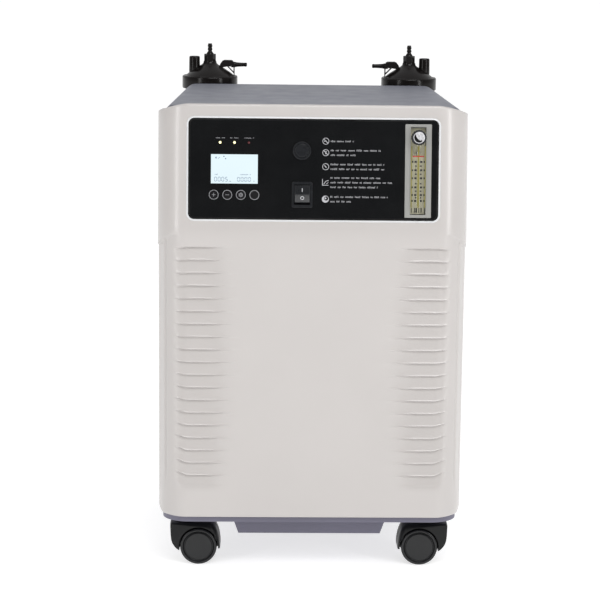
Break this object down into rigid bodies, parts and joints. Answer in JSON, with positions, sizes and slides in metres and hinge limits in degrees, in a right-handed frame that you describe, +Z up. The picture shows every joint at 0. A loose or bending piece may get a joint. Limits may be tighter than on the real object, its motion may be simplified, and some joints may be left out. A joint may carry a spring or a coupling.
{
  "type": "oxygen concentrator",
  "caption": "Floor-standing oxygen concentrator on swivel casters, with a leaning control panel, a flowmeter and humidifiers in bays at its rear corners.",
  "frame": {"origin": "on the floor under the middle of the whole object", "axes": "+Z up, the front panel faces -Y, +X to the right seen from the front"},
  "size_m": [0.375, 0.3667, 0.6275],
  "materials": {
    "cover_white": "satin moulded ABS",
    "housing_grey": "fine textured moulded ABS",
    "base_grey": "fine textured moulded ABS",
    "panel_black": "glossy overlay",
    "display": "backlit",
    "lamp": "diffused lens",
    "key_black": "glossy",
    "trim_black": "satin",
    "plate_metal": "brushed",
    "knob_metal": "turned and plated",
    "clear_acrylic": "polished",
    "clear_bottle": "clear moulded",
    "dip_clear": "natural",
    "cap_black": "satin",
    "caster_black": "fine textured",
    "wheel_black": "satin tread",
    "steel": "zinc plated",
    "sheet_metal": "galvanised",
    "cast_alloy": "cast",
    "brass": "turned",
    "copper": "drawn",
    "rubber": "moulded",
    "hose": "silicone",
    "foam": "open-cell foam",
    "filter_white": "moulded",
    "board_green": "solder mask"
  },
  "bodies": {
    "cabinet": {"base_tray": "base_grey", "bottle_holders": "caster_black", "breaker_bezel": "trim_black", "caster_stems": "steel", "circuit_board": "board_green", "compressor_body": "cast_alloy", "compressor_heads": "cast_alloy", "control_panel": "panel_black", "cooling_coil": "copper", "cover_screws": "steel", "equipment_shelf": "sheet_metal", "fan_frame": "trim_black", "flowmeter_block": "clear_acrylic", "flowmeter_fittings": "brass", "flowmeter_plate": "plate_metal", "front_cover": "cover_white", "intake_filter": "filter_white", "internal_hoses": "hose", "isolator_mounts": "rubber", "lcd_screen": "display", "power_inlet": "trim_black", "product_tank": "cast_alloy", "rear_housing": "housing_grey", "rocker_bezel": "trim_black", "sieve_beds": "cast_alloy", "solenoid_valves": "trim_black", "status_leds": "lamp", "valve_manifold": "cast_alloy"},
    "rocker": {"rocker_switch": "trim_black"},
    "breaker": {"breaker_button": "trim_black"},
    "float": {"flowmeter_float": "steel"},
    "knob": {"flow_knob": "knob_metal"},
    "fan": {"fan_rotor": "trim_black"},
    "crank": {"crankshaft": "steel"},
    "door": {"filter_door": "housing_grey", "filter_sponge": "foam"},
    "key_plus": {"key_plus": "key_black"},
    "key_minus": {"key_minus": "key_black"},
    "key_settings": {"key_settings": "key_black"},
    "key_mute": {"key_mute": "key_black"},
    "bottle_left": {"humidifier_bottle_left": "clear_bottle"},
    "cap_left": {"humidifier_cap_left": "cap_black", "inlet_barb_left": "cap_black", "dip_tube_left": "dip_clear"},
    "bottle_right": {"humidifier_bottle_right": "clear_bottle"},
    "cap_right": {"humidifier_cap_right": "cap_black", "inlet_barb_right": "cap_black", "dip_tube_right": "dip_clear"},
    "caster_front_left": {"caster_hood_front_left": "caster_black", "caster_axle_front_left": "steel"},
    "wheels_front_left": {"caster_wheels_front_left": "wheel_black"},
    "caster_rear_left": {"caster_hood_rear_left": "caster_black", "caster_axle_rear_left": "steel"},
    "wheels_rear_left": {"caster_wheels_rear_left": "wheel_black"},
    "caster_front_right": {"caster_hood_front_right": "caster_black", "caster_axle_front_right": "steel"},
    "wheels_front_right": {"caster_wheels_front_right": "wheel_black"},
    "caster_rear_right": {"caster_hood_rear_right": "caster_black", "caster_axle_rear_right": "steel"},
    "wheels_rear_right": {"caster_wheels_rear_right": "wheel_black"}
  },
  "joints": [
    {"name": "front_left_swivel", "type": "hinge", "parent": "cabinet", "child": "caster_front_left", "pos_m": [-0.1575, -0.13, 0.04], "axis": [0, 0, 1], "continuous": true},
    {"name": "front_left_roll", "type": "hinge", "parent": "caster_front_left", "child": "wheels_front_left", "pos_m": [-0.1375, -0.13, 0.0228], "axis": [0, 1, 0], "continuous": true},
    {"name": "rear_left_swivel", "type": "hinge", "parent": "cabinet", "child": "caster_rear_left", "pos_m": [-0.1435, 0.13, 0.04], "axis": [0, 0, 1], "continuous": true},
    {"name": "rear_left_roll", "type": "hinge", "parent": "caster_rear_left", "child": "wheels_rear_left", "pos_m": [-0.1235, 0.13, 0.0228], "axis": [0, 1, 0], "continuous": true},
    {"name": "front_right_swivel", "type": "hinge", "parent": "cabinet", "child": "caster_front_right", "pos_m": [0.1575, -0.13, 0.04], "axis": [0, 0, 1], "continuous": true},
    {"name": "front_right_roll", "type": "hinge", "parent": "caster_front_right", "child": "wheels_front_right", "pos_m": [0.1375, -0.13, 0.0228], "axis": [0, 1, 0], "continuous": true},
    {"name": "rear_right_swivel", "type": "hinge", "parent": "cabinet", "child": "caster_rear_right", "pos_m": [0.1435, 0.13, 0.04], "axis": [0, 0, 1], "continuous": true},
    {"name": "rear_right_roll", "type": "hinge", "parent": "caster_rear_right", "child": "wheels_rear_right", "pos_m": [0.1235, 0.13, 0.0228], "axis": [0, 1, 0], "continuous": true},
    {"name": "rocker_tilt", "type": "hinge", "parent": "cabinet", "child": "rocker", "pos_m": [-0.0135, -0.17544, 0.4677], "axis": [1, 0, 0], "range_deg": [0, 18]},
    {"name": "breaker_trip", "type": "slide", "parent": "cabinet", "child": "breaker", "axis": [0, -0.9932, 0.1167], "range_m": [0, 0.004]},
    {"name": "key_plus_press", "type": "slide", "parent": "cabinet", "child": "key_plus", "axis": [0, 0.9932, -0.1167], "range_m": [0, 0.0005], "stiffness_N_per_m": 1200, "springref_m": -0.0004},
    {"name": "key_minus_press", "type": "slide", "parent": "cabinet", "child": "key_minus", "axis": [0, 0.9932, -0.1167], "range_m": [0, 0.0005], "stiffness_N_per_m": 1200, "springref_m": -0.0004},
    {"name": "key_settings_press", "type": "slide", "parent": "cabinet", "child": "key_settings", "axis": [0, 0.9932, -0.1167], "range_m": [0, 0.0005], "stiffness_N_per_m": 1200, "springref_m": -0.0004},
    {"name": "key_mute_press", "type": "slide", "parent": "cabinet", "child": "key_mute", "axis": [0, 0.9932, -0.1167], "range_m": [0, 0.0005], "stiffness_N_per_m": 1200, "springref_m": -0.0004},
    {"name": "float_rise", "type": "slide", "parent": "cabinet", "child": "float", "axis": [0, 0.1167, 0.9932], "range_m": [-0.0609, 0.0051]},
    {"name": "flow_valve_turn", "type": "hinge", "parent": "cabinet", "child": "knob", "pos_m": [0.1251, -0.17382, 0.53718], "axis": [0, -0.9932, 0.1167], "range_deg": [-1080, 360]},
    {"name": "bottle_left_lift", "type": "slide", "parent": "cabinet", "child": "bottle_left", "axis": [0, 0, 1], "range_m": [0, 0.08]},
    {"name": "cap_left_unscrew", "type": "hinge", "parent": "bottle_left", "child": "cap_left", "pos_m": [-0.1326, 0.142, 0.58], "axis": [0, 0, 1], "range_deg": [0, 540]},
    {"name": "bottle_right_lift", "type": "slide", "parent": "cabinet", "child": "bottle_right", "axis": [0, 0, 1], "range_m": [0, 0.08]},
    {"name": "cap_right_unscrew", "type": "hinge", "parent": "bottle_right", "child": "cap_right", "pos_m": [0.1326, 0.142, 0.58], "axis": [0, 0, 1], "range_deg": [0, 540]},
    {"name": "fan_spin", "type": "hinge", "parent": "cabinet", "child": "fan", "pos_m": [0.1, -0.075, 0.235], "axis": [0, 0, 1], "continuous": true},
    {"name": "crank_spin", "type": "hinge", "parent": "cabinet", "child": "crank", "pos_m": [0, 0, 0.152], "axis": [1, 0, 0], "continuous": true},
    {"name": "filter_door_pull", "type": "slide", "parent": "cabinet", "child": "door", "axis": [0, 1, 0], "range_m": [0, 0.03]}
  ]
}
